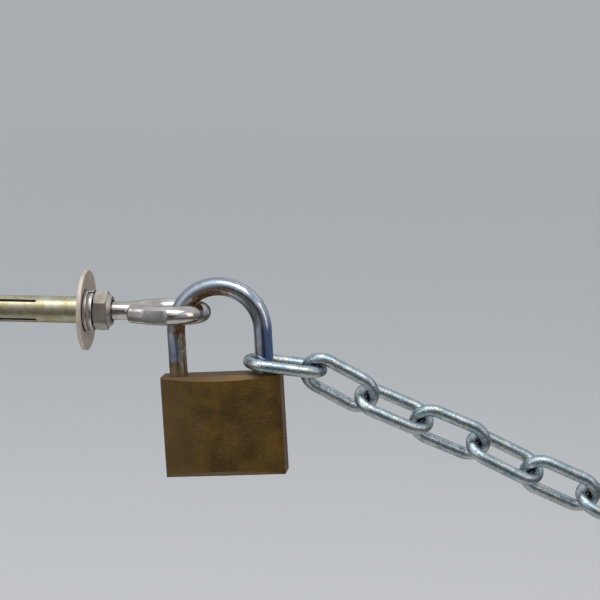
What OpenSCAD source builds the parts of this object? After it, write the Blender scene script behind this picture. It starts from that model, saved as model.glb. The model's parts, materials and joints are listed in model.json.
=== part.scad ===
// Wall chain lock: an eye bolt fixed in a wall, a solid brass padlock that hangs
// from its eye, and a chain whose first link is held by the padlock's shackle.
// The origin is where the bolt's axis meets the wall. +X points out of the wall
// along the bolt, +Z is up, and the lock hangs with its front face towards -Y.

/* [Wall fixing] */
// Nominal thread diameter of the eye bolt
bolt_d = 8; // [6:0.5:10]
// Diameter of the rolled plain shank and of the eye's rod
rod_d = 6.8; // [5:0.1:7.2]
// Radius of the eye, to the middle of the rod
eye_r = 11.95; // [11:0.05:16]
// Distance from the wall to the middle of the eye
eye_reach = 33.2; // [32:0.1:50]
// Outside diameter of the fender washer
fender_d = 30; // [24:0.5:40]
// Thickness of the fender washer
fender_t = 1.5; // [1:0.1:2.5]
// How far the fender washer's rim stands off the wall
fender_dish = 1.2; // [0.2:0.1:2]
// Outside diameter of the flat washer and the spring washer
washer_d = 15.6; // [14:0.1:17]
// Thickness of the flat washer
washer_t = 1.6; // [1:0.1:2]
// Thickness of the spring washer
spring_washer_t = 2; // [1.5:0.1:2.5]
// Width of the nut across its flats
nut_af = 13; // [12:0.5:15]
// Height of the nut
nut_h = 6.6; // [5:0.1:8]
// Angle that the nut is turned by, from a corner pointing up
nut_turn = 2; // [0:1:60]
// Outside diameter of the expansion sleeve in the wall
sleeve_d = 10; // [9.5:0.1:14]
// Length of the expansion sleeve
sleeve_l = 40; // [30:1:60]

/* [Lock body] */
// Width of the lock body
body_w = 45; // [43:0.5:50]
// Height of the lock body
body_h = 38; // [37:0.5:46]
// Thickness of the lock body at its sides
body_side_t = 10; // [9.5:0.1:13]
// How far each face bulges out in the middle
body_bulge = 1.6; // [1.4:0.1:2.5]

/* [Shackle] */
// Diameter of the shackle
shackle_d = 6.8; // [6:0.1:7]
// Distance between the axes of the two legs
leg_gap = 32.7; // [31:0.1:34]
// Height of the arch's centre above the lock body
arch_z = 16.4; // [12:0.1:40]
// Angle of the lock from upright as the chain pulls it
lock_tilt = 3.9; // [0:0.1:8]
// Turn of the lock about the vertical
lock_yaw = -2.5; // [-4:0.1:4]
// Where on the arch the eye bears, as an angle in the lock's own frame
bearing_angle = 132.8; // [120:0.1:150]
// How far the lock body drops from the shackle when it opens
lift = 9; // [8:0.1:9.5]

/* [Lock mechanism] */
// Diameter of the key plug
plug_d = 10; // [9:0.1:10.2]
// Height of the key plug
plug_h = 20.8; // [19:0.1:22]
// Number of pin stacks
pin_count = 4; // [2:1:4]
// Distance from one pin stack to the next
pin_pitch = 3.4; // [3:0.1:3.6]
// Diameter of the pins
pin_d = 2.5; // [2:0.1:2.6]
// Diameter of the latch bolts
latch_d = 4.6; // [4:0.1:5]
// How far a latch bolt reaches into its notch
latch_bite = 1.3; // [1:0.1:1.4]
// How far a latch bolt draws back
latch_travel = 3.2; // [3:0.1:3.3]
// Slope of the notch's lower flank from the leg's axis
flank_angle = 23; // [20:0.5:24]
// Diameter of the pin that keeps the heel leg in
keeper_d = 2.4; // [2:0.1:2.6]

/* [Chain] */
// Diameter of the chain's wire
link_wire = 4.5; // [4:0.1:4.8]
// Inside length of a link
link_pitch = 22.6; // [21:0.1:30]
// Room for the shackle inside a link's width
shackle_play = 1.8; // [1.5:0.1:4]
// Room for the next link's wire inside a link's width
wire_play = 4.1; // [3.8:0.1:6]
// Gap between the first link and the edge of the lock body that it rests on
first_link_gap = 0.03; // [0.02:0.01:3]
// Slope of the first link, below the horizontal
first_link_slope = 6; // [2:0.5:6]
// Roll of the first link about its own length, from level
first_link_roll = 2; // [0:1:4]
// Mean slope of the rest of the chain, below the horizontal
chain_slope = 24; // [20:0.5:28]
// Roll of every second link about its own length, from upright
chain_roll = 26; // [10:1:30]
// Extra gap where the second link hooks askew into the first
askew_gap = 0.8; // [0.7:0.05:1.2]

/* [Clearances] */
// Radial clearance of what slides or turns in a bore
run_fit = 0.05; // [0.02:0.01:0.1]
// Gap where two pieces bear loosely on each other
bear_gap = 0.15; // [0.1:0.05:0.3]
// Gap at the ends of a moving piece
end_gap = 0.2; // [0.1:0.05:0.3]

/* [Hidden] */
fine = 96;      // facets of the preview's smaller round shapes
broad = 720;    // facets of the lock body's wide faces
eps = 0.01;     // how far a cut runs past the surface that it opens

// Wall fixing
washer_bore = bolt_d + 0.4;
fender_flat_d = washer_d + 0.4;
flat_washer_x = fender_t;
spring_washer_x = flat_washer_x + washer_t;
nut_x = spring_washer_x + spring_washer_t;
nut_end_x = nut_x + nut_h;
thread_d = bolt_d - 2 * run_fit;
sleeve_x = -0.5;
cone_h = 7;
split_gap = 1.2;
sleeve_slot_w = 1.2;
sleeve_slot_share = 0.6;
eye_rod_d = rod_d + 0.2;
eye_root_angle = asin(rod_d / 2 / eye_r) + 0.5;
eye_slit_angle = 5;
eye_end_angle = eye_root_angle + eye_slit_angle;

// Lock body, in the lock's own frame: the origin is in the middle of the top
face_r = (pow(body_w / 2, 2) + pow(body_bulge, 2)) / (2 * body_bulge);
body_mid_t = body_side_t + 2 * body_bulge;
edge_break = 0.3;
leg_x = leg_gap / 2;
leg_bore_d = shackle_d + 2 * run_fit;

// Shackle legs, their notches and the heel's neck
latch_z = -4.6;
short_leg_end = -8.5;
short_bore_end = short_leg_end - 2 * end_gap;
notch_depth = latch_bite + end_gap;
notch_top = latch_z + latch_d / 2 + end_gap;
notch_low = latch_z - latch_d / 2;
flank_gap = 0.3 / sin(flank_angle);
keeper_z = -11.8;
neck_step = 0.8;
neck_r = shackle_d / 2 - neck_step;
neck_top = keeper_z + keeper_d / 2 + end_gap;
neck_low = keeper_z - keeper_d / 2 - lift - end_gap;
collar_h = 2;
heel_end = neck_low - collar_h;
leg_chamfer = 0.8;

// Lift cup and shackle spring
cup_h = 1.4;
cup_stub_d = 3.4;
cup_stub_h = 2;
cup_z = heel_end - end_gap / 2;
heel_floor_t = 2.4;
heel_bore_end = -body_h + heel_floor_t;
spring_top = cup_z - cup_h - end_gap / 2;
spring_low = heel_bore_end + end_gap / 2;

// Plug, cam and pins
plug_bore_d = plug_d + 2 * run_fit;
plug_top = -body_h + plug_h;
cam_roof = -2.2;
cam_top = cam_roof - end_gap;
cam_low = cam_top - latch_d;
cam_stem_d = 5;
tongue_w = 2.4;
tongue_l = 7;
tongue_h = 2.4;
first_pin_z = plug_top - 4;
keyway_w = 2.2;
keyway_in = -3.6;
keyway_out = 1;
key_pin_starts = [1.6, 1.0, 2.0, 1.3];
pin_seat = plug_d / 2 - 0.25;
driver_start = plug_bore_d / 2 + 0.1;
driver_l = 4.1;
pin_spring_end = body_w / 2 - 4.2;
chamber_plug_l = 4;
flush_gap = 0.05;
plug_keeper_d = 1.8;
plug_keeper_z = -body_h + 2;
plug_groove_r = plug_d / 2 - 0.8;

// Cam profile: its reach falls evenly with its turn, by the latch bolts' travel
latch_start = plug_d / 2 - 0.4;
cam_reach = latch_start - end_gap;
cam_fall = latch_travel / (PI / 2);
cam_step = 6;

// Chain
link_gap_w = max(shackle_d + shackle_play, link_wire + wire_play);
strand_r = (link_gap_w + link_wire) / 2;
link_reach = (link_pitch + link_wire) / 2;
link_straight = link_reach - strand_r;
link_count = 7;
link_sway = [3, -2, -2.5, 1.5, -1, 0];  // each later link's slope from the mean

function turn_y(v, a) = [v.x * cos(a) + v.z * sin(a), v.y, v.z * cos(a) - v.x * sin(a)];
function turn_z(v, a) = [v.x * cos(a) - v.y * sin(a), v.x * sin(a) + v.y * cos(a), v.z];
function lock_vector(v) = turn_z(turn_y(v, -lock_tilt), lock_yaw);

// The eye's rod bears on the inside of the arch
bearing_r = leg_x - shackle_d / 2 - eye_rod_d / 2 - bear_gap;
bearing_point = [
    bearing_r * cos(bearing_angle), 0, arch_z + bearing_r * sin(bearing_angle)
];
eye_rod_point = [eye_reach + eye_r, 0, 0];
lock_origin = eye_rod_point - lock_vector(bearing_point);

// Each link hooks into the end of the one before
first_link_lean = first_link_slope + lock_tilt;
first_link_x = leg_x - (shackle_d + link_wire) / 2 - bear_gap;
first_link_z = (body_w / 2 - first_link_x) * tan(first_link_lean)
    + link_wire / 2 / cos(first_link_lean) + first_link_gap;
first_link_point = [first_link_x, 0, first_link_z];
function link_slope(i) = i == 1 ? first_link_slope : chain_slope + link_sway[i - 2];
function link_roll(i) = i == 1 ? 90 + first_link_roll : chain_roll + (i % 2 == 0 ? 0 : 90);
function link_way(i) = [cos(link_slope(i)), 0, -sin(link_slope(i))];
function link_start(i) = i == 1
    ? lock_origin + lock_vector(first_link_point)
    : link_end(i - 1) - hook_step(link_way(i - 1) + link_way(i), i == 2 ? askew_gap : 0);
function link_end(i) = link_start(i) + 2 * link_reach * link_way(i);
function hook_step(way, extra) = (link_wire + bear_gap + extra) * way / norm(way);

module in_lock() {
    translate(lock_origin) rotate([0, -lock_tilt, lock_yaw]) children();
}

// A rod bent round the Z axis, from one angle to another
module bent_rod(path_r, d, from_angle, to_angle) {
    rotate([0, 0, from_angle])
        rotate_extrude(angle = to_angle - from_angle, $fn = 2 * fine)
            translate([path_r, 0]) circle(d = d, $fn = fine);
}

// A rod along X
module rod_x(x0, x1, d) {
    translate([x0, 0, 0]) rotate([0, 90, 0]) cylinder(d = d, h = x1 - x0, $fn = fine);
}

// A tapered rod along X
module cone_x(x0, x1, d0, d1) {
    translate([x0, 0, 0])
        rotate([0, 90, 0]) cylinder(d1 = d0, d2 = d1, h = x1 - x0, $fn = fine);
}

// A washer round the X axis
module washer_x(x0, t, outer_d, bore_d) {
    difference() {
        rod_x(x0, x0 + t, outer_d);
        rod_x(x0 - eps, x0 + t + eps, bore_d);
    }
}

// A coil spring along Z, from z = 0 to z = length
module coil(length, outer_d, wire_d, turns, sides, per_turn) {
    path_r = (outer_d - wire_d) / 2;
    rise = (length - wire_d) / turns;
    steps = turns * per_turn;
    points = [
        for (i = [0:steps]) for (k = [0:sides - 1])
            let (turn = 360 * i / per_turn, side = 360 * k / sides)
            let (r = path_r + wire_d / 2 * cos(side))
            [r * cos(turn), r * sin(turn),
             wire_d / 2 * (1 + sin(side)) + rise * i / per_turn]
    ];
    walls = [
        for (i = [0:steps - 1]) for (k = [0:sides - 1])
            let (next = (k + 1) % sides)
            [i * sides + k, i * sides + next, (i + 1) * sides + next, (i + 1) * sides + k]
    ];
    first_cap = [[for (k = [0:sides - 1]) sides - 1 - k]];
    last_cap = [[for (k = [0:sides - 1]) steps * sides + k]];
    polyhedron(points, concat(walls, first_cap, last_cap));
}

// ---- Wall fixing ----

// Dished, so its rim stands off the wall and its middle is pressed against it
module fender_washer() {
    color("silver")
        rotate([0, 90, 0]) rotate_extrude($fn = 2 * fine) polygon([
            [washer_bore / 2, 0],
            [fender_flat_d / 2, 0],
            [fender_d / 2, fender_dish],
            [fender_d / 2, fender_dish + fender_t],
            [fender_flat_d / 2, fender_t],
            [washer_bore / 2, fender_t]
        ]);
}

module flat_washer() {
    color("gainsboro") washer_x(flat_washer_x, washer_t, washer_d, washer_bore);
}

module spring_washer() {
    color("silver") difference() {
        washer_x(spring_washer_x, spring_washer_t, washer_d - 0.4, washer_bore);
        rotate([20, 0, 0]) translate([spring_washer_x + spring_washer_t / 2, 0, washer_d / 2])
            rotate([0, 0, 25])
                cube([2 * spring_washer_t, split_gap, washer_d], center = true);
    }
}

// Its corners are turned down at both ends, and its outer end is crowned
module hex_nut() {
    corner_d = nut_af / cos(30);
    chamfer_d = nut_af * 0.96;
    cone_l = (corner_d - chamfer_d) / 2 * tan(30);
    crown_d = nut_af * 0.82;
    crown_l = nut_h * 0.2;
    crown_x = nut_h - crown_l;
    color("silver") intersection() {
        rotate([nut_turn, 0, 0]) translate([nut_x, 0, 0])
            rotate([0, 90, 0]) cylinder(d = corner_d, h = nut_h, $fn = 6);
        translate([nut_x, 0, 0]) rotate([0, 90, 0]) rotate_extrude($fn = fine) polygon([
            [bolt_d / 2, -eps],
            [chamfer_d / 2, -eps],
            [corner_d / 2 + eps, cone_l],
            [corner_d / 2 + eps, crown_x - cone_l / 2],
            [chamfer_d / 2, crown_x],
            [crown_d / 2, nut_h],
            [crown_d / 2, nut_h + eps],
            [bolt_d / 2, nut_h + eps]
        ]);
    }
}

// The rod bends round from the end of the shank until its end nearly meets the shank
module eye_bolt() {
    point_l = 1.5;
    thread_start = sleeve_x - sleeve_l - cone_h - point_l - 1;
    color("silver") {
        union() {
            cone_x(thread_start, thread_start + point_l, thread_d - 2, thread_d);
            rod_x(thread_start + point_l, nut_end_x - 0.5, thread_d);
            rod_x(nut_end_x - 0.5, eye_reach - eye_r, rod_d);
            translate([eye_reach, 0, 0])
                bent_rod(eye_r, eye_rod_d, -180 + eye_end_angle, 180 + eye_root_angle);
        }
    }
}

// Slotted at its far end, where the cone spreads it
module anchor_sleeve() {
    slot_l = sleeve_l * sleeve_slot_share;
    color("darkgray") difference() {
        washer_x(sleeve_x - sleeve_l, sleeve_l, sleeve_d, bolt_d + 2 * run_fit);
        for (a = [45, 135])
            rotate([a, 0, 0]) translate([sleeve_x - sleeve_l - eps, -sleeve_d, -sleeve_slot_w / 2])
                cube([slot_l, 2 * sleeve_d, sleeve_slot_w]);
    }
}

module anchor_cone() {
    cone_start = sleeve_x - sleeve_l - cone_h;
    color("darkgray") difference() {
        cone_x(cone_start, cone_start + cone_h, sleeve_d, sleeve_d - 1);
        rod_x(cone_start - eps, cone_start + cone_h + eps, bolt_d);
    }
}

// ---- Shackle ----

// The space that a latch bolt needs beside a leg, with the leg's axis at x = 0
// and the latch coming from +X; slack widens it on every side
module latch_notch(depth, top, low, width) {
    surface = shackle_d / 2;
    flank = depth / tan(flank_angle);
    translate([0, width / 2, 0]) rotate([90, 0, 0]) linear_extrude(width) polygon([
        [surface - depth, top],
        [surface + 1, top],
        [surface + 1, low - 1 / tan(flank_angle)],
        [surface, low],
        [surface - depth, low + flank]
    ]);
}

module leg(end_z) {
    translate([0, 0, end_z])
        cylinder(d1 = shackle_d - 2 * leg_chamfer, d2 = shackle_d, h = leg_chamfer, $fn = fine);
    translate([0, 0, end_z + leg_chamfer])
        cylinder(d = shackle_d, h = arch_z - end_z - leg_chamfer, $fn = fine);
}

module heel_neck_cut() {
    rotate_extrude($fn = fine) translate([neck_r, neck_low])
        square([shackle_d, neck_top - neck_low]);
}

module shackle() {
    color("lightsteelblue") in_lock() difference() {
        union() {
            translate([0, 0, arch_z]) rotate([90, 0, 0]) bent_rod(leg_x, shackle_d, 0, 180);
            translate([-leg_x, 0, 0]) leg(heel_end);
            translate([leg_x, 0, 0]) leg(short_leg_end);
        }
        translate([-leg_x, 0, 0]) {
            latch_notch(notch_depth, notch_top, notch_low - flank_gap, 2 * shackle_d);
            heel_neck_cut();
        }
        translate([leg_x, 0, 0]) mirror([1, 0, 0])
            latch_notch(notch_depth, notch_top, notch_low - flank_gap, 2 * shackle_d);
    }
}

// Rides on the spring and pushes the heel leg up
module lift_cup() {
    color("goldenrod") in_lock() translate([-leg_x, 0, 0]) union() {
        translate([0, 0, cup_z - cup_h])
            cylinder(d = shackle_d - 0.2, h = cup_h, $fn = fine);
        translate([0, 0, cup_z - cup_h - cup_stub_h])
            cylinder(d = cup_stub_d, h = cup_stub_h, $fn = fine);
    }
}

module shackle_spring() {
    color("dimgray") in_lock() translate([-leg_x, 0, spring_low])
        coil(spring_top - spring_low, shackle_d - 0.6, 0.8, 6, 8, 20);
}

// ---- Lock body ----

// Two wide arcs for the faces, with the top and bottom edges bevelled back
module body_blank() {
    top_half_t = body_side_t / 2 - edge_break;
    bevel = body_bulge + 2 * edge_break;
    intersection() {
        intersection_for (side = [-1, 1])
            translate([0, side * (body_mid_t / 2 - face_r), -body_h])
                cylinder(r = face_r, h = body_h, $fn = broad);
        translate([-body_w / 2, 0, 0]) rotate([90, 0, 90]) linear_extrude(body_w) polygon([
            [-top_half_t, 0],
            [top_half_t, 0],
            [top_half_t + bevel, -bevel],
            [top_half_t + bevel, -body_h + bevel],
            [top_half_t, -body_h],
            [-top_half_t, -body_h],
            [-top_half_t - bevel, -body_h + bevel],
            [-top_half_t - bevel, -bevel]
        ]);
    }
}

module bore_z(x, low, top, d) {
    translate([x, 0, low]) cylinder(d = d, h = top - low, $fn = fine);
}

module bore_x(z, x0, x1, d) {
    translate([0, 0, z]) rod_x(x0, x1, d);
}

module each_pin_level() {
    for (i = [0:pin_count - 1])
        translate([0, 0, first_pin_z - i * pin_pitch]) children();
}

module lock_body() {
    side = body_w / 2 + eps;
    color("darkgoldenrod") in_lock() difference() {
        body_blank();
        bore_z(-leg_x, heel_bore_end, eps, leg_bore_d);
        bore_z(leg_x, short_bore_end, eps, leg_bore_d);
        bore_z(0, -body_h - eps, cam_roof, plug_bore_d);
        bore_x(latch_z, -leg_x, side, latch_d + 2 * run_fit);
        bore_x(keeper_z, -leg_x, 0, keeper_d + 2 * run_fit);
        bore_x(plug_keeper_z, 0, side, plug_keeper_d + 2 * run_fit);
        each_pin_level() rod_x(0, side, pin_d + 2 * run_fit);
    }
}

module shackle_keeper_pin() {
    color("dimgray") in_lock()
        bore_x(keeper_z, neck_r + end_gap - leg_x, -plug_bore_d / 2 - end_gap, keeper_d);
}

module plug_keeper_pin() {
    color("goldenrod") in_lock() bore_x(
        plug_keeper_z, plug_groove_r + end_gap, body_w / 2 - flush_gap, plug_keeper_d
    );
}

module latch_bore_plug() {
    color("goldenrod") in_lock() bore_x(
        latch_z, leg_x + leg_bore_d / 2 + end_gap, body_w / 2 - flush_gap, latch_d
    );
}

module chamber_plugs() {
    plug_end = body_w / 2 - flush_gap;
    color("goldenrod") in_lock() each_pin_level()
        rod_x(plug_end - chamber_plug_l, plug_end, pin_d);
}

module driver_pins() {
    color("gold") in_lock() each_pin_level()
        rod_x(driver_start, driver_start + driver_l, pin_d);
}

module pin_springs() {
    start = driver_start + driver_l + flush_gap;
    color("dimgray") in_lock() each_pin_level()
        translate([start, 0, 0]) rotate([0, 90, 0])
            coil(pin_spring_end - start, pin_d - 0.2, 0.35, 8, 6, 12);
}

// ---- Plug, cam and latch bolts ----

module key_plug() {
    color("khaki") in_lock() difference() {
        bore_z(0, -body_h, plug_top, plug_d);
        translate([keyway_in, -keyway_w / 2, -body_h - eps])
            cube([keyway_out - keyway_in, keyway_w, first_pin_z + body_h + pin_d]);
        each_pin_level() rod_x(0, plug_d, pin_d + 2 * run_fit);
        translate([0, 0, plug_keeper_z]) rotate_extrude($fn = fine)
            translate([plug_groove_r, -plug_keeper_d / 2 - run_fit])
                square([plug_d, plug_keeper_d + 2 * run_fit]);
        translate([-tongue_l / 2 - end_gap, -tongue_w / 2 - run_fit, plug_top - tongue_h - end_gap])
            cube([tongue_l + 2 * end_gap, tongue_w + 2 * run_fit, tongue_h + 1]);
    }
}

// Points of one lobe: a flat follower on it moves in evenly as the cam turns, and
// at the end rests on a flat as wide as the latch bolt
function cam_lobe(flip) = [
    for (a = [0:cam_step:90])
        let (reach = cam_reach - cam_fall * a * PI / 180)
        flip * [reach * cos(a) + cam_fall * sin(a), cam_fall * cos(a) - reach * sin(a)],
    -flip * [latch_d / 2 + end_gap, cam_reach - latch_travel]
];

module plug_cam() {
    color("dimgray") in_lock() union() {
        translate([0, 0, cam_low]) linear_extrude(cam_top - cam_low)
            polygon(concat(cam_lobe(1), cam_lobe(-1)));
        bore_z(0, plug_top + flush_gap, cam_low + eps, cam_stem_d);
        translate([-tongue_l / 2, -tongue_w / 2, plug_top - tongue_h])
            cube([tongue_l, tongue_w, tongue_h + 1]);
    }
}

module key_pins() {
    color("gold") in_lock() for (i = [0:pin_count - 1])
        bore_x(first_pin_z - i * pin_pitch, key_pin_starts[i], pin_seat, pin_d);
}

// Its tip is cut to the notch's shape, so the rising leg can push it back
module latch_bolt() {
    tip_x = leg_x - shackle_d / 2 + latch_bite;
    intersection() {
        bore_x(latch_z, latch_start, tip_x, latch_d);
        union() {
            translate([0, -latch_d, latch_z - latch_d])
                cube([leg_x - shackle_d / 2, 2 * latch_d, 2 * latch_d]);
            translate([leg_x, 0, 0]) mirror([1, 0, 0])
                latch_notch(latch_bite, latch_z + latch_d / 2, notch_low, 2 * latch_d);
        }
    }
}

module latch_bolt_right() {
    color("gray") in_lock() latch_bolt();
}

module latch_bolt_left() {
    color("gray") in_lock() mirror([1, 0, 0]) latch_bolt();
}

// ---- Chain ----

// One link, its length along X and its width along Z
module link_blank() {
    for (end = [0, 1]) mirror([end, 0, 0])
        translate([link_straight, 0, 0]) rotate([90, 0, 0])
            bent_rod(strand_r, link_wire, -90, 90);
    for (side = [-1, 1])
        translate([0, 0, side * strand_r]) rod_x(-link_straight, link_straight, link_wire);
}

module chain_link(i) {
    color(i % 2 == 0 ? "silver" : "lightgray")
        translate((link_start(i) + link_end(i)) / 2)
            rotate([0, link_slope(i), 0]) rotate([link_roll(i), 0, 0]) link_blank();
}

fender_washer();
flat_washer();
spring_washer();
hex_nut();
eye_bolt();
anchor_sleeve();
anchor_cone();
shackle();
lift_cup();
lock_body();
shackle_keeper_pin();
plug_keeper_pin();
latch_bore_plug();
chamber_plugs();
driver_pins();
pin_springs();
shackle_spring();
key_plug();
plug_cam();
key_pins();
latch_bolt_left();
latch_bolt_right();
chain_link(1);  // chain_link_1
chain_link(2);  // chain_link_2
chain_link(3);  // chain_link_3
chain_link(4);  // chain_link_4
chain_link(5);  // chain_link_5
chain_link(6);  // chain_link_6
chain_link(7);  // chain_link_7
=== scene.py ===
"""Looks of the wall chain lock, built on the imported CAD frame. Lengths are in metres."""
import json
import math

import bpy
from mathutils import Matrix, Vector


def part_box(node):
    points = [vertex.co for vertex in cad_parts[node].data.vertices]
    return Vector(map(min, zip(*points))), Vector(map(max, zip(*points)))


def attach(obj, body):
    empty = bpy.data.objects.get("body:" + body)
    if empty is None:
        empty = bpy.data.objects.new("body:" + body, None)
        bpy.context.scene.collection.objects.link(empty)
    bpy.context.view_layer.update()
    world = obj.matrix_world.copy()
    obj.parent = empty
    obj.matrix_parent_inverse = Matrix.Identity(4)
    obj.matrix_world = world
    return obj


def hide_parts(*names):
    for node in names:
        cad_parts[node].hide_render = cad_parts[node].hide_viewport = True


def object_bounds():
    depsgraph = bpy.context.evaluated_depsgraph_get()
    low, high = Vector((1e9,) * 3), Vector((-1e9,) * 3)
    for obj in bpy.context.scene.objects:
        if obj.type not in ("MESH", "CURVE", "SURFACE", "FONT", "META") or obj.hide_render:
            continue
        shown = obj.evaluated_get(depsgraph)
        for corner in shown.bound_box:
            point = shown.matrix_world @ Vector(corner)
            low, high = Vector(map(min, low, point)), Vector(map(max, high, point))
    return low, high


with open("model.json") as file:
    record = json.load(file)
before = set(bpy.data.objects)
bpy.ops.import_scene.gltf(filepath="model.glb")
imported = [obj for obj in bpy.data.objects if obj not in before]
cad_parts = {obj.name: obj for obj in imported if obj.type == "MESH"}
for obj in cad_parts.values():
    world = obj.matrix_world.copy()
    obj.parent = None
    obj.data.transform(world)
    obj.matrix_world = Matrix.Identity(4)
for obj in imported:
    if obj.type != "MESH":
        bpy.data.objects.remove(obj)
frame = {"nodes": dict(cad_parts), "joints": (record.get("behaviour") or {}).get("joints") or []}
CAD_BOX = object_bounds()
NODES = frame["nodes"]
JOINTS = {joint["name"]: joint for joint in frame["joints"]}
MM = 0.001


# ---- Places worked out from the frame ----

def lock_axes():
    """The lock's own X, Y and Z as the columns of a rotation."""
    up = -Vector(JOINTS["lock_open"]["axis"]).normalized()
    right = Vector(JOINTS["latch_left_draw"]["axis"]).normalized()
    return Matrix((right, up.cross(right), up)).transposed()


def lock_top(axes):
    """The middle of the lock body's top."""
    points = [axes.transposed() @ v.co for v in NODES["lock_body"].data.vertices]
    low = [min(p[i] for p in points) for i in range(3)]
    high = [max(p[i] for p in points) for i in range(3)]
    return axes @ Vector(((low[0] + high[0]) / 2, (low[1] + high[1]) / 2, high[2]))


LOCK_AXES = lock_axes()
LOCK_TOP = lock_top(LOCK_AXES)


def local_size(node):
    """A node's lowest and highest corners in the lock's own frame, in millimetres."""
    points = [LOCK_AXES.transposed() @ (v.co - LOCK_TOP) / MM for v in NODES[node].data.vertices]
    low = Vector([min(p[i] for p in points) for i in range(3)])
    high = Vector([max(p[i] for p in points) for i in range(3)])
    return low, high


def shackle_measures():
    """Rod diameter, leg offset and arch centre height of the shackle, in millimetres."""
    low, high = local_size("shackle")
    rod = high.y - low.y
    leg = high.x - rod / 2
    return rod, leg, high.z - rod / 2 - leg


ROD_D, LEG_X, ARCH_Z = shackle_measures()


# ---- Node trees ----

def srgb(red, green, blue):
    """A colour in 8-bit display values, as linear RGBA."""
    def linear(value):
        value /= 255
        return value / 12.92 if value <= 0.04045 else ((value + 0.055) / 1.055) ** 2.4
    return (linear(red), linear(green), linear(blue), 1.0)


class Graph:
    """Builds one node tree, one node to a call."""

    def __init__(self, tree):
        self.tree = tree
        tree.nodes.clear()

    def add(self, kind, inputs=None, **settings):
        node = self.tree.nodes.new(kind)
        for key, value in settings.items():
            setattr(node, key, value)
        for key, value in (inputs or {}).items():
            if isinstance(value, bpy.types.NodeSocket):
                self.tree.links.new(value, node.inputs[key])
            else:
                node.inputs[key].default_value = value
        return node

    def place(self):
        """Where the surface is at rest, in millimetres."""
        spot = self.add("ShaderNodeTexCoord").outputs["Object"]
        return self.scaled(spot, (1 / MM,) * 3)

    def lock_place(self):
        """Where the surface is in the lock's own frame, in millimetres."""
        spot = self.add("ShaderNodeTexCoord").outputs["Object"]
        local = self.add("ShaderNodeMapping", {
            "Vector": spot,
            "Location": LOCK_TOP,
            "Rotation": LOCK_AXES.to_euler(),
        }, vector_type="TEXTURE").outputs["Vector"]
        return self.scaled(local, (1 / MM,) * 3)

    def scaled(self, vector, scale):
        return self.add("ShaderNodeMapping", {"Vector": vector, "Scale": scale}).outputs["Vector"]

    def split(self, vector):
        return self.add("ShaderNodeSeparateXYZ", {"Vector": vector}).outputs

    def noise(self, vector, per_mm, detail=2.0, rough=0.5, warp=0.0):
        return self.add("ShaderNodeTexNoise", {
            "Vector": vector, "Scale": per_mm, "Detail": detail,
            "Roughness": rough, "Distortion": warp,
        }).outputs["Fac"]

    def math(self, operation, first, second=0.0, third=0.0, clamp=False):
        return self.add("ShaderNodeMath", {
            0: first, 1: second, 2: third,
        }, operation=operation, use_clamp=clamp).outputs[0]

    def times(self, first, second):
        return self.math("MULTIPLY", first, second)

    def plus(self, first, second):
        return self.math("ADD", first, second)

    def length(self, first, second):
        """How long the vector with these two parts is."""
        return self.math("SQRT", self.plus(self.times(first, first), self.times(second, second)))

    def ramp(self, value, low, high, to_low=0.0, to_high=1.0):
        """The value's span from low to high, eased and held at its ends."""
        return self.add("ShaderNodeMapRange", {
            "Value": value, "From Min": low, "From Max": high,
            "To Min": to_low, "To Max": to_high,
        }, interpolation_type="SMOOTHSTEP").outputs["Result"]

    def mix(self, share, first, second, way="MIX"):
        node = self.add("ShaderNodeMix", data_type="RGBA", blend_type=way)
        for index, value in ((0, share), (6, first), (7, second)):
            if isinstance(value, bpy.types.NodeSocket):
                self.tree.links.new(value, node.inputs[index])
            else:
                node.inputs[index].default_value = value
        return node.outputs[2]

    def bump(self, height, depth_mm, strength=1.0, below=None):
        inputs = {"Height": height, "Strength": strength, "Distance": depth_mm * MM}
        if below is not None:
            inputs["Normal"] = below
        return self.add("ShaderNodeBump", inputs).outputs["Normal"]

    def soft_edges(self, radius_mm):
        """Normals that round each sharp edge over a small radius."""
        return self.add("ShaderNodeBevel", {"Radius": radius_mm * MM}, samples=6).outputs["Normal"]

    def edge_mask(self, radius_mm, low=0.02, high=0.25):
        """One on worn edges, nought on open faces."""
        soft = self.soft_edges(radius_mm)
        plain = self.add("ShaderNodeNewGeometry").outputs["Normal"]
        level = self.add("ShaderNodeVectorMath", {0: soft, 1: plain}, operation="DOT_PRODUCT")
        return self.ramp(self.math("SUBTRACT", 1.0, level.outputs["Value"]), low, high)

    def painted_corner_shade(self, reach_mm, low=0.35, high=0.85):
        """Painted shade: one in tight corners and in gaps between parts, nought in the open."""
        shade = self.add("ShaderNodeAmbientOcclusion", {"Distance": reach_mm * MM}, samples=6)
        return self.ramp(shade.outputs["AO"], high, low)

    def facing(self, axis, low, high):
        """One where the surface faces along an axis, either way, in the rest pose."""
        spot = self.add("ShaderNodeTexCoord").outputs["Normal"]
        return self.ramp(self.math("ABSOLUTE", self.split(spot)[axis]), low, high)

    def surface(self, **inputs):
        names = {
            "color": "Base Color", "rough": "Roughness", "metal": "Metallic",
            "normal": "Normal", "aniso": "Anisotropic",
        }
        shader = self.add("ShaderNodeBsdfPrincipled", {names[k]: v for k, v in inputs.items()})
        self.add("ShaderNodeOutputMaterial", {"Surface": shader.outputs["BSDF"]})


def new_material(name):
    material = bpy.data.materials.new(name)
    material.use_nodes = True
    return material, Graph(material.node_tree)


# ---- Metals ----

def flat_mask(g, part):
    """One on the ground flat at the eye bolt's near end, nought on the rest of its rod."""
    outside = g.ramp(part["Y"], -Bolt.eye_r, -Bolt.eye_r - 1)
    before_end = g.ramp(part["X"], flat_end_x() + 0.4, flat_end_x() - 0.4)
    return g.times(g.times(g.facing("Y", 0.50, 0.72), outside), before_end)


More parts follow.
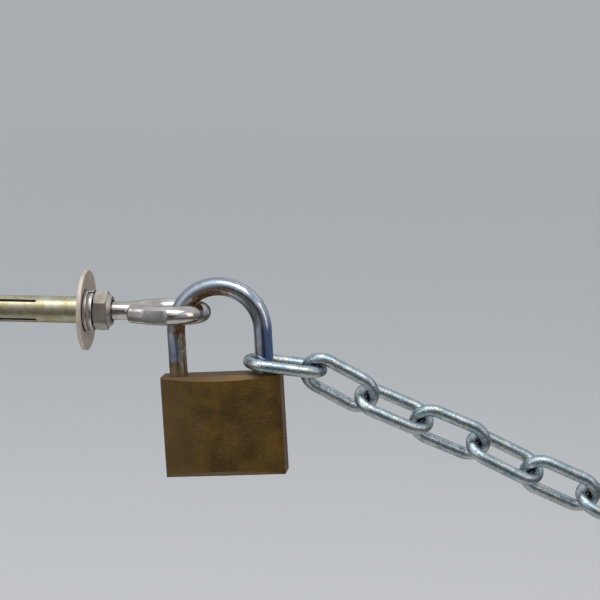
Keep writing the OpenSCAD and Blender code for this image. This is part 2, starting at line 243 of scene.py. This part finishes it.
def polished_stainless(name):
    """Drawn rod, polished by hand: long faint scuffs, a grey haze and a dull ground flat."""
    material, g = new_material(name)
    spot = g.place()
    haze = g.noise(spot, 0.12, 3, 0.55)
    streak = g.noise(g.scaled(spot, (0.15, 1, 1)), 2.2, 3, 0.6)
    scuff = g.noise(g.scaled(spot, (1, 0.2, 0.5)), 3.5, 2, 0.7, 0.6)
    tone = g.mix(g.ramp(haze, 0.35, 0.7), srgb(214, 210, 204), srgb(176, 166, 156))
    tone = g.mix(g.ramp(streak, 0.55, 0.8, 0, 0.35), tone, srgb(120, 110, 100))
    rough = g.plus(g.ramp(haze, 0.35, 0.75, 0.08, 0.20), g.ramp(scuff, 0.5, 0.8, 0, 0.14))
    flat = flat_mask(g, g.split(spot))
    ground = g.mix(g.ramp(scuff, 0.3, 0.7), srgb(168, 164, 160), srgb(142, 138, 134))
    tone = g.mix(flat, tone, ground)
    rough = g.plus(rough, g.times(flat, 0.34))
    # Painted shade: the colour goes near black in tight corners and gaps.
    tone = g.mix(g.times(g.painted_corner_shade(1.0), 0.8), tone, srgb(28, 26, 26))
    height = g.plus(g.times(streak, 0.6), g.times(scuff, 0.4))
    g.surface(color=tone, metal=1.0, rough=rough, normal=g.bump(height, 0.02, 0.35))
    return material


def pressed_stainless(name, tone_a, tone_b, low_rough, high_rough, metal=1.0):
    """Punched sheet: a satin face with turned marks, a rough grey cut rim and brown film."""
    material, g = new_material(name)
    spot = g.place()
    part = g.split(spot)
    radius = g.length(part["Y"], part["Z"])
    rings = g.noise(g.add("ShaderNodeCombineXYZ", {"X": radius}).outputs[0], 3.0, 3, 0.7)
    grain = g.noise(spot, 3.5, 4, 0.65)
    film = g.noise(spot, 0.22, 3, 0.6)
    tone = g.mix(g.ramp(film, 0.35, 0.7), tone_a, tone_b)
    tone = g.mix(g.ramp(grain, 0.55, 0.85, 0, 0.4), tone, srgb(84, 74, 66))
    worn = g.edge_mask(0.25)
    tone = g.mix(g.times(worn, 0.5), tone, srgb(70, 64, 60))
    # Painted shade: the colour goes near black in tight corners and in the gaps between the washers and
    # the nut.
    tone = g.mix(g.times(g.painted_corner_shade(0.9), 0.9), tone, srgb(26, 22, 20))
    rough = g.plus(g.ramp(film, 0.3, 0.7, low_rough, high_rough), g.ramp(grain, 0.4, 0.8, 0, 0.12))
    height = g.plus(g.times(rings, 0.5), g.times(grain, 0.5))
    g.surface(color=tone, metal=metal, rough=rough,
              normal=g.bump(height, 0.03, 0.5, g.soft_edges(0.12)))
    return material


def arch_wear(g, reach, angle, on_arch):
    """One inside the arch, on the side where the eye rubs it."""
    inner = g.times(g.ramp(reach, LEG_X + 1.2, LEG_X - ROD_D * 0.40), on_arch)
    rubbed = g.times(g.ramp(angle, math.radians(62), math.radians(88)),
                     g.ramp(angle, math.radians(172), math.radians(140)))
    return g.times(inner, rubbed)


def leg_wear(g, part):
    """One on the left leg's collar, less at its foot and in the streaks between them."""
    left_leg = g.ramp(part["X"], 0.0, -LEG_X * 0.6)
    inward = g.ramp(part["X"], -LEG_X - 1.6, -LEG_X + 1.0)
    band = g.times(g.ramp(part["Z"], 13.0, 16.5), g.ramp(part["Z"], 24.0, 19.0))
    collar = g.times(g.times(left_leg, inward), band)
    foot = g.times(left_leg, g.ramp(part["Z"], 8.0, 0.5))
    streaks = g.times(left_leg, g.ramp(part["X"], -LEG_X + 0.2, -LEG_X + 2.8))
    streaks = g.times(streaks, g.ramp(part["Z"], 18.0, 12.0, 0, 0.46))
    return g.math("MAXIMUM", collar, g.math("MAXIMUM", g.times(foot, 0.62), streaks))


def plate_tone(g, spot, cloud, right_leg_reflection, golden, dull_and_shaded):
    """Bright plate with blue heat tints, a painted blue reflection down the right leg, golden round the
    rust and painted grey shade where it is dull.
    """
    tint = g.noise(spot, 0.10, 3, 0.6, 0.8)
    plate = g.mix(g.ramp(tint, 0.4, 0.62), srgb(196, 199, 203), srgb(160, 169, 182))
    plate = g.mix(g.ramp(cloud, 0.58, 0.75, 0, 0.6), plate, srgb(104, 114, 132))
    # Painted reflection: the right leg is painted dark blue.
    plate = g.mix(g.times(right_leg_reflection, 0.8), plate, srgb(64, 92, 128))
    plate = g.mix(g.times(golden, 0.85), plate, srgb(150, 122, 62))
    # Painted shade: the dull part of the arch is painted grey, where no highlight shows.
    return g.mix(g.times(dull_and_shaded, 0.7), plate, srgb(134, 140, 148))


def plated_shackle(name):
    """Bright plated rod, rusted where the eye has rubbed the plate off."""
    material, g = new_material(name)
    spot = g.lock_place()
    part = g.split(spot)
    above = g.math("SUBTRACT", part["Z"], ARCH_Z)
    angle = g.math("ARCTAN2", above, part["X"])
    on_arch = g.ramp(above, -3.0, 1.0)
    worn = arch_wear(g, g.length(part["X"], above), angle, on_arch)
    area = g.math("MAXIMUM", worn, leg_wear(g, part))
    patch = g.noise(spot, 0.45, 5, 0.65, 0.4)
    spread = g.plus(area, g.times(g.math("SUBTRACT", patch, 0.5), 1.7))
    rust = g.ramp(spread, 0.40, 0.85)
    pits = g.noise(spot, 1.1, 4, 0.7)
    rust_tone = g.mix(g.ramp(pits, 0.36, 0.58), srgb(36, 22, 16), srgb(120, 82, 42))
    rust_tone = g.mix(g.ramp(patch, 0.52, 0.66, 0, 0.8), rust_tone, srgb(74, 38, 20))
    cloud = g.noise(g.scaled(spot, (1, 1, 0.25)), 0.5, 3, 0.6)
    # Where the painted blue reflection goes: the right leg below the arch.
    right_leg_reflection = g.times(g.ramp(part["X"], LEG_X - 1.0, LEG_X + 0.6), g.ramp(above, 6.0, -2.0))
    golden = g.times(g.ramp(area, 0.04, 0.30), g.ramp(patch, 0.30, 0.50))
    # The arch's left part: painted grey shade and a rougher plate.
    dull_and_shaded = g.times(g.ramp(angle, math.radians(72), math.radians(96)), on_arch)
    dull_and_shaded = g.times(dull_and_shaded, g.ramp(cloud, 0.25, 0.45, 0.7, 1.0))
    tone = g.mix(rust, plate_tone(g, spot, cloud, right_leg_reflection, golden, dull_and_shaded), rust_tone)
    line = g.noise(g.scaled(spot, (1, 1, 0.12)), 2.6, 2, 0.6)
    rough = g.plus(g.ramp(line, 0.3, 0.8, 0.08, 0.20), g.times(dull_and_shaded, 0.26))
    rough = g.plus(rough, g.times(rust, 0.4))
    height = g.plus(g.times(line, 0.12), g.times(g.times(pits, rust), 1.4))
    g.surface(color=tone, metal=g.ramp(rust, 0, 1, 1.0, 0.25), rough=rough,
              normal=g.bump(height, 0.10, 0.5, g.soft_edges(0.1)))
    return material


def aged_brass(name, dark, warm, purple):
    """Solid brass gone olive brown: fine brushing across it, blotches and brighter edges."""
    material, g = new_material(name)
    spot = g.lock_place()
    cloud = g.noise(spot, 0.075, 4, 0.55, 0.3)
    blotch = g.noise(g.scaled(spot, (1, 1, 1.3)), 0.16, 4, 0.6, 0.5)
    brush = g.noise(g.scaled(spot, (0.10, 0.4, 1)), 4.2, 3, 0.65)
    hair = g.noise(g.scaled(spot, (0.05, 0.4, 1)), 9.0, 2, 0.6)
    speck = g.noise(spot, 1.4, 4, 0.7)
    tone = g.mix(g.ramp(cloud, 0.36, 0.66), dark, warm)
    tone = g.mix(g.ramp(blotch, 0.52, 0.70, 0, 0.8), tone, purple)
    tone = g.mix(g.ramp(brush, 0.50, 0.75, 0, 0.35), tone, srgb(176, 148, 92))
    tone = g.mix(g.ramp(hair, 0.52, 0.75, 0, 0.35), tone, srgb(46, 34, 18))
    tone = g.mix(g.ramp(speck, 0.62, 0.80, 0, 0.45), tone, srgb(44, 32, 20))
    worn = g.times(g.edge_mask(0.35), g.ramp(speck, 0.3, 0.6, 0.4, 1.0))
    tone = g.mix(g.times(worn, 0.55), tone, srgb(196, 168, 120))
    paler = g.ramp(g.split(spot)["X"], -4.0, -20.0, 0, 0.34)
    tone = g.mix(paler, tone, srgb(140, 114, 74))
    # Painted reflection: the top and bottom faces and the side strips are painted paler, in patches, by
    # which way they face.
    patchy_face_sheen = g.ramp(blotch, 0.3, 0.6, 0.5, 0.85)
    tone = g.mix(g.times(g.facing("Z", 0.25, 0.6), patchy_face_sheen), tone, srgb(108, 86, 64))
    tone = g.mix(g.times(g.facing("X", 0.8, 0.95), patchy_face_sheen), tone, srgb(142, 120, 100))
    # Painted shade: the brass goes near black in tight corners and recesses.
    tone = g.mix(g.times(g.painted_corner_shade(1.2), 0.8), tone, srgb(30, 20, 12))
    rough = g.plus(g.ramp(cloud, 0.3, 0.7, 0.40, 0.52), g.ramp(brush, 0.3, 0.8, 0, 0.10))
    height = g.plus(g.times(brush, 0.7), g.times(hair, 0.3))
    g.surface(color=tone, metal=0.85, rough=rough, aniso=0.35,
              normal=g.bump(height, 0.035, 0.6, g.soft_edges(0.18)))
    return material


def bright_zinc(name, seed):
    """Zinc plate on drawn wire: broken highlights, dark pits and blue, green and straw tints."""
    material, g = new_material(name)
    spot = g.add("ShaderNodeMapping", {
        "Vector": g.place(), "Location": (seed * 7.3, seed * 3.1, seed * 5.7),
    }).outputs["Vector"]
    tint = g.noise(spot, 0.22, 3, 0.6, 0.6)
    other = g.noise(spot, 0.34, 2, 0.5, 0.9)
    crust = g.noise(spot, 1.3, 5, 0.68)
    grain = g.noise(spot, 3.2, 4, 0.7)
    scrape = g.noise(g.scaled(spot, (0.45, 1, 1)), 1.7, 4, 0.7, 0.8)
    tone = g.mix(g.ramp(tint, 0.35, 0.65), srgb(190, 196, 198), srgb(150, 166, 174))
    tone = g.mix(g.ramp(other, 0.54, 0.70, 0, 0.65), tone, srgb(196, 190, 150))
    tone = g.mix(g.ramp(other, 0.44, 0.30, 0, 0.5), tone, srgb(140, 170, 150))
    tone = g.mix(g.ramp(crust, 0.55, 0.68, 0, 0.85), tone, srgb(80, 86, 84))
    tone = g.mix(g.ramp(scrape, 0.58, 0.70, 0, 0.9), tone, srgb(44, 48, 48))
    # Painted shade: the zinc goes dark grey in tight corners where the links touch.
    tone = g.mix(g.times(g.painted_corner_shade(1.6), 0.7), tone, srgb(36, 40, 40))
    rough = g.plus(g.ramp(crust, 0.35, 0.7, 0.12, 0.38), g.ramp(grain, 0.45, 0.8, 0, 0.12))
    height = g.plus(g.times(grain, 0.2), g.times(scrape, 0.35))
    height = g.plus(g.times(crust, 0.65), height)
    g.surface(color=tone, metal=1.0, rough=rough, normal=g.bump(height, 0.20, 0.85))
    return material


def yellow_zinc(name):
    """Passivated wall anchor: straw tint with grey wear on its edges."""
    material, g = new_material(name)
    spot = g.place()
    cloud = g.noise(spot, 0.3, 3, 0.6, 0.5)
    grain = g.noise(spot, 2.6, 4, 0.7)
    tone = g.mix(g.ramp(cloud, 0.35, 0.65), srgb(190, 184, 164), srgb(170, 160, 120))
    tone = g.mix(g.ramp(grain, 0.58, 0.8, 0, 0.5), tone, srgb(104, 98, 84))
    tone = g.mix(g.times(g.edge_mask(0.3), 0.6), tone, srgb(216, 214, 206))
    rough = g.ramp(grain, 0.3, 0.75, 0.26, 0.48)
    g.surface(color=tone, metal=1.0, rough=rough,
              normal=g.bump(grain, 0.05, 0.5, g.soft_edges(0.15)))
    return material


def oiled_steel(name, tone_a, tone_b):
    """Machined steel inside the lock: turned marks under a thin film of oil."""
    material, g = new_material(name)
    spot = g.lock_place()
    turned = g.noise(g.scaled(spot, (1, 0.2, 0.2)), 5.0, 3, 0.6)
    film = g.noise(spot, 0.5, 3, 0.6)
    tone = g.mix(g.ramp(film, 0.35, 0.7), tone_a, tone_b)
    tone = g.mix(g.times(g.edge_mask(0.2), 0.5), tone, srgb(220, 218, 212))
    rough = g.plus(g.ramp(film, 0.3, 0.7, 0.2, 0.34), g.ramp(turned, 0.4, 0.8, 0, 0.1))
    g.surface(color=tone, metal=1.0, rough=rough,
              normal=g.bump(turned, 0.02, 0.5, g.soft_edges(0.1)))
    return material


def finish_node(node, material):
    """Gives every slot of a CAD node's object the material."""
    mesh = NODES[node].data
    if not mesh.materials:
        mesh.materials.append(material)
    for slot in NODES[node].material_slots:
        slot.material = material


def round_edges(node, width_mm):
    """Rounds a CAD node's edges a little, with modifiers alone."""
    weld = NODES[node].modifiers.new("weld", "WELD")
    weld.merge_threshold = 0.001 * MM
    bevel = NODES[node].modifiers.new("bevel", "BEVEL")
    bevel.width = width_mm * MM
    bevel.segments = 3
    bevel.limit_method = "ANGLE"
    bevel.angle_limit = math.radians(40)
    bevel.harden_normals = True


ROUNDED_EDGES = {"flat_washer": 0.35, "spring_washer": 0.35, "fender_washer": 0.2}


def finish_nodes():
    washer = pressed_stainless("fender_face", srgb(214, 200, 184), srgb(190, 174, 156), 0.46, 0.60, 0.6)
    rim = pressed_stainless("washer_face", srgb(206, 204, 200), srgb(170, 164, 158), 0.2, 0.32)
    nut = pressed_stainless("nut_face", srgb(196, 188, 174), srgb(168, 158, 142), 0.34, 0.46)
    brass = aged_brass("aged_brass", srgb(98, 76, 42), srgb(128, 98, 46), srgb(104, 74, 56))
    core = aged_brass("plug_brass", srgb(150, 120, 62), srgb(186, 150, 84), srgb(128, 96, 60))
    steel = oiled_steel("oiled_steel", srgb(176, 176, 176), srgb(138, 138, 142))
    spring = oiled_steel("spring_wire", srgb(150, 152, 158), srgb(104, 106, 112))
    anchor = yellow_zinc("anchor_zinc")
    looks = {
        "fender_washer": washer, "flat_washer": rim, "spring_washer": rim, "hex_nut": nut,
        "eye_bolt": polished_stainless("eye_rod"),
        "anchor_sleeve": anchor, "anchor_cone": anchor,
        "shackle": plated_shackle("shackle_plate"),
        "lift_cup": core, "lock_body": brass, "chamber_plugs": brass,
        "latch_bore_plug": brass, "plug_keeper_pin": core, "key_plug": core,
        "driver_pins": core, "key_pins": core,
        "shackle_keeper_pin": steel, "plug_cam": steel,
        "latch_bolt_left": steel, "latch_bolt_right": steel,
        "pin_springs": spring, "shackle_spring": spring,
    }
    links = sorted(n for n in NODES if n.startswith("chain_link_"))
    for index, link in enumerate(links):
        looks[link] = bright_zinc(f"zinc_{index + 1}", index + 1)
    for node, material in looks.items():
        finish_node(node, material)
    for node, width_mm in ROUNDED_EDGES.items():
        round_edges(node, width_mm)


# ---- Eye bolt ----

THREAD_PITCH = 1.25
THREAD_DEPTH = 0.62
THREAD_STEP = 0.125
ROD_STEP = 0.5
ROD_SIDES = 40
BEND_GAP = 2.5
EYE_JOIN = math.radians(128)
EYE_LEAVE = math.radians(-115)
FLAT_START = math.radians(-84)
FLAT_SHARE = 0.72
FLAT_CROWN = 0.22
TAIL_L = 9.8
TIP_L = 1.6
TIP_SHARE = 0.45


class Bolt:
    """Measures of the eye bolt, read off its CAD node and its joint, in millimetres."""
    low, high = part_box("eye_bolt")
    bearing = JOINTS["lock_swing"]["pos_m"][0] / MM
    start = low.x / MM
    thread_d = 2 * high.z / MM
    rod_d = 2 * (high.x / MM - bearing)
    eye_r = high.y / MM - rod_d / 2
    middle = bearing - eye_r
    thread_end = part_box("hex_nut")[1].x / MM - 0.5
    shank_share = 0.97


def smooth(value):
    value = min(max(value, 0.0), 1.0)
    return value * value * (3 - 2 * value)


def eye_point(angle):
    return Vector((Bolt.middle + Bolt.eye_r * math.cos(angle), Bolt.eye_r * math.sin(angle), 0))


def eye_way(angle):
    return Vector((math.sin(angle), -math.cos(angle), 0))


def straight_line(first, way, length, step):
    count = max(1, round(length / step))
    return [(first + way * length * i / count, way) for i in range(1, count + 1)]


def curved_line(first, first_way, last, last_way):
    """An S from one point and way to another, as a cubic curve."""
    pull = (last - first).length * 0.42
    knots = (first, first + first_way * pull, last - last_way * pull, last)
    count = round((last - first).length / ROD_STEP)
    line = []
    for i in range(1, count + 1):
        s = i / count
        r = 1 - s
        spot = knots[0] * r ** 3 + 3 * s * r * (knots[1] * r + knots[2] * s) + knots[3] * s ** 3
        way = (knots[1] - knots[0]) * r * r + (knots[2] - knots[1]) * 2 * s * r
        line.append((spot, (way + (knots[3] - knots[2]) * s * s).normalized()))
    return line


def bolt_line():
    """The rod's middle line from the wall end, as points and the way that it runs there."""
    ahead = Vector((1, 0, 0))
    first = Vector((Bolt.start, 0, 0))
    bend = Vector((Bolt.thread_end + BEND_GAP, 0, 0))
    line = [(first, ahead)]
    line += straight_line(first, ahead, (bend - first).length, THREAD_STEP)
    line += curved_line(bend, ahead, eye_point(EYE_JOIN), eye_way(EYE_JOIN))
    count = round((EYE_JOIN - EYE_LEAVE) * Bolt.eye_r / ROD_STEP)
    for i in range(1, count + 1):
        angle = EYE_JOIN + (EYE_LEAVE - EYE_JOIN) * i / count
        line.append((eye_point(angle), eye_way(angle)))
    line += straight_line(eye_point(EYE_LEAVE), eye_way(EYE_LEAVE), TAIL_L, ROD_STEP)
    return line


def flat_end_x():
    """Where the flattened part of the rod's near end stops."""
    return Bolt.middle + Bolt.eye_r * math.cos(FLAT_START)


def flat_at(spot, way):
    """How far the bending tool has flattened the rod's outside there, from 0 to 1."""
    near_end = spot.y < 0 and way.x < 0.3
    return smooth((FLAT_START - math.atan2(spot.y, spot.x - Bolt.middle)) / 0.10) if near_end else 0


def thread_reach(x, turn):
    """Radius of the threaded part at a turn round it, in whole turns."""
    wave = (x / THREAD_PITCH - turn) % 1.0
    crest = min(1.0, 1.25 * abs(2 * wave - 1))
    run_out = smooth((Bolt.thread_end - x) / 1.0)
    lead_in = 0.72 + 0.28 * smooth((x - Bolt.start) / 1.5)
    return (Bolt.thread_d / 2 - THREAD_DEPTH * (1 - crest) * run_out) * lead_in


def bolt_ring(spot, way, left):
    """One ring of points round the rod; left is the length from there to its blunt end."""
    side = Vector((-way.y, way.x, 0))
    threaded = spot.x < Bolt.thread_end and spot.y == 0
    shank = 1 - (1 - Bolt.shank_share) * smooth((Bolt.middle - Bolt.eye_r - spot.x) / 3 + 1)
    blunt = 1 - TIP_SHARE * smooth(1 - left / TIP_L) ** 2
    inmost = Bolt.rod_d / 2 * (1 - (1 - FLAT_SHARE) * flat_at(spot, way))
    ring = []
    for k in range(ROD_SIDES):
        turn = k / ROD_SIDES
        reach = thread_reach(spot.x, turn) if threaded else Bolt.rod_d / 2 * shank * blunt
        out = reach * math.cos(2 * math.pi * turn)
        rise = reach * math.sin(2 * math.pi * turn)
        if not threaded and out > inmost:
            out = inmost + (out - inmost) * FLAT_CROWN
        ring.append((spot + side * out + Vector((0, 0, rise))) * MM)
    return ring


def add_eye_bolt():
    """The bolt as it was bent: a cut thread, a shank that swings into the eye, a blunt end."""
    line = bolt_line()
    left = [0.0]
    for (near, _), (far, _) in zip(line[::-1], line[-2::-1]):
        left.append(left[-1] + (near - far).length)
    points = []
    for (spot, way), rest in zip(line, left[::-1]):
        points += bolt_ring(spot, way, rest)
    faces = []
    for start in range(0, len(points) - ROD_SIDES, ROD_SIDES):
        for k in range(ROD_SIDES):
            n = (k + 1) % ROD_SIDES
            faces.append((start + k, start + n, start + n + ROD_SIDES, start + k + ROD_SIDES))
    faces.append(tuple(range(ROD_SIDES))[::-1])
    faces.append(tuple(range(len(points) - ROD_SIDES, len(points))))
    mesh = bpy.data.meshes.new("bent_eye_bolt")
    mesh.from_pydata(points, [], faces)
    mesh.polygons.foreach_set("use_smooth", [True] * len(mesh.polygons))
    mesh.update()
    mesh.materials.append(bpy.data.materials["eye_rod"])
    bolt = bpy.data.objects.new("bent_eye_bolt", mesh)
    bpy.context.scene.collection.objects.link(bolt)
    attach(bolt, "wall_fixing")
    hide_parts("eye_bolt")


# ---- Floor, light and camera ----

FLOOR_GAP = 125 * MM    # clear of the chain at every joint limit
FLOOR_SPAN = 60.0
FLOOR_TONE = srgb(198, 196, 193)
# Painted reflection: rings of floor colour that only reflections see, pale near the lock, then dark,
# then the surroundings.
PAINTED_REFLECTION_RINGS = ((0.56, 1.67), (3.35, 6.9))    # in drops from the camera's aim to the floor
PATCH_RATE = 0.2    # patches to a drop
ROOM_TONE = srgb(170, 173, 176)
AIM = Vector((81.93, 0.0, 5.47)) * MM
CAMERA_SIDE = math.radians(3.85)
CAMERA_RISE = math.radians(7.2)
CAMERA_ROLL = math.radians(-0.72)
CAMERA_REACH = 532 * MM
SENSOR_W = 36.0
LENS = 2.70 * CAMERA_REACH / MM / 600 * SENSOR_W


def surroundings(g, across, patch):
    """What polished metal sees at eye level: bright to the left, dark ahead, bluish right. Also painted
    onto the floor as a reflection.
    """
    band = g.mix(g.ramp(across, -0.22, -0.50), srgb(70, 66, 62), srgb(214, 216, 222))
    band = g.mix(g.ramp(across, 0.28, 0.55), band, srgb(160, 172, 190))
    return g.mix(g.ramp(patch, 0.52, 0.64, 0, 0.7), band, srgb(84, 76, 68))


def add_floor():
    height = CAD_BOX[0][2] - FLOOR_GAP
    half = FLOOR_SPAN / 2
    mesh = bpy.data.meshes.new("floor")
    corners = [(-half, -half), (half, -half), (half, half), (-half, half)]
    mesh.from_pydata([(x, y, height) for x, y in corners], [], [(0, 1, 2, 3)])
    floor = bpy.data.objects.new("floor", mesh)
    bpy.context.scene.collection.objects.link(floor)
    material, g = new_material("floor_paper")
    spot = g.add("ShaderNodeTexCoord").outputs["Object"]
    fibre = g.noise(spot, 900, 3, 0.6)
    tone = g.mix(g.ramp(fibre, 0.3, 0.7, 0, 0.2), FLOOR_TONE, srgb(192, 190, 187))
    offset = g.add("ShaderNodeVectorMath", {0: spot, 1: AIM}, operation="SUBTRACT")
    part = g.split(offset.outputs[0])
    away = g.length(part["X"], part["Y"])
    across = g.math("DIVIDE", part["X"], away)
    drop = AIM.z - height
    patch = g.noise(g.scaled(spot, (PATCH_RATE / drop, PATCH_RATE / drop, 1)), 1.0, 2, 0.5)
    near_share, far_share = (g.ramp(away, low * drop, high * drop) for low, high in PAINTED_REFLECTION_RINGS)
    # Painted reflection: to reflections alone, the floor turns dark in a ring round the lock and shows
    # the surroundings further out. Camera rays see the plain floor.
    near = g.mix(near_share, tone, srgb(66, 59, 52))
    painted_reflection = g.mix(far_share, near, surroundings(g, across, patch))
    seen = g.add("ShaderNodeLightPath").outputs["Is Glossy Ray"]
    tone = g.mix(g.times(seen, 0.9), tone, painted_reflection)
    g.surface(color=tone, rough=0.85, normal=g.bump(fibre, 0.05, 0.3))
    mesh.materials.append(material)
    return height


def add_room():
    """A pale room: bright above, dimmer and warmer at the level of the horizon."""
    world = bpy.data.worlds.new("room")
    bpy.context.scene.world = world
    world.use_nodes = True
    g = Graph(world.node_tree)
    way = g.add("ShaderNodeTexCoord").outputs["Generated"]
    height = g.split(way)["Z"]
    across = g.split(way)["X"]
    patch = g.noise(g.scaled(way, (1, 1, 0.35)), 3.1, 2, 0.5)
    band = surroundings(g, across, patch)
    glow = g.mix(g.ramp(height, 0.10, 0.60), band, srgb(222, 228, 236))
    seen = g.add("ShaderNodeLightPath").outputs["Is Camera Ray"]
    tone = g.mix(seen, glow, ROOM_TONE)
    back = g.add("ShaderNodeBackground", {"Color": tone, "Strength": 1.0})
    g.add("ShaderNodeOutputWorld", {"Surface": back.outputs["Background"]})


def add_light(name, place, size, power, tone):
    data = bpy.data.lights.new(name, "AREA")
    data.shape = "RECTANGLE"
    data.size, data.size_y = size
    data.energy = power
    data.color = tone[:3]
    light = bpy.data.objects.new(name, data)
    bpy.context.scene.collection.objects.link(light)
    light.location = place
    light.rotation_euler = (AIM - Vector(place)).to_track_quat("-Z", "Y").to_euler()


LIGHTS = (
    ("overhead", (0.05, -0.40, 0.85), (1.1, 0.6), 5.0, srgb(246, 249, 255)),
    ("window", (-0.75, -0.60, 0.45), (0.4, 0.9), 1.8, srgb(242, 247, 255)),
    ("fill", (0.9, -0.35, 0.25), (0.3, 0.6), 0.8, srgb(255, 244, 230)),
)


def add_camera():
    way = Vector((
        -math.sin(CAMERA_SIDE) * math.cos(CAMERA_RISE),
        math.cos(CAMERA_SIDE) * math.cos(CAMERA_RISE),
        -math.sin(CAMERA_RISE),
    ))
    right = Vector((math.cos(CAMERA_SIDE), math.sin(CAMERA_SIDE), 0))
    up = right.cross(way)
    turn_cos, turn_sin = math.cos(CAMERA_ROLL), math.sin(CAMERA_ROLL)
    columns = (turn_cos * right - turn_sin * up, turn_sin * right + turn_cos * up, -way)
    data = bpy.data.cameras.new("camera")
    data.sensor_width = SENSOR_W
    data.lens = LENS
    data.clip_start = 0.01
    data.clip_end = 100.0
    camera = bpy.data.objects.new("camera", data)
    bpy.context.scene.collection.objects.link(camera)
    camera.matrix_world = (
        Matrix.Translation(AIM - way * CAMERA_REACH) @ Matrix(columns).transposed().to_4x4()
    )
    bpy.context.scene.camera = camera


add_camera()
finish_nodes()
add_eye_bolt()
add_floor()
add_room()
for light_row in LIGHTS:
    add_light(*light_row)
bpy.context.scene.view_settings.view_transform = "Standard"
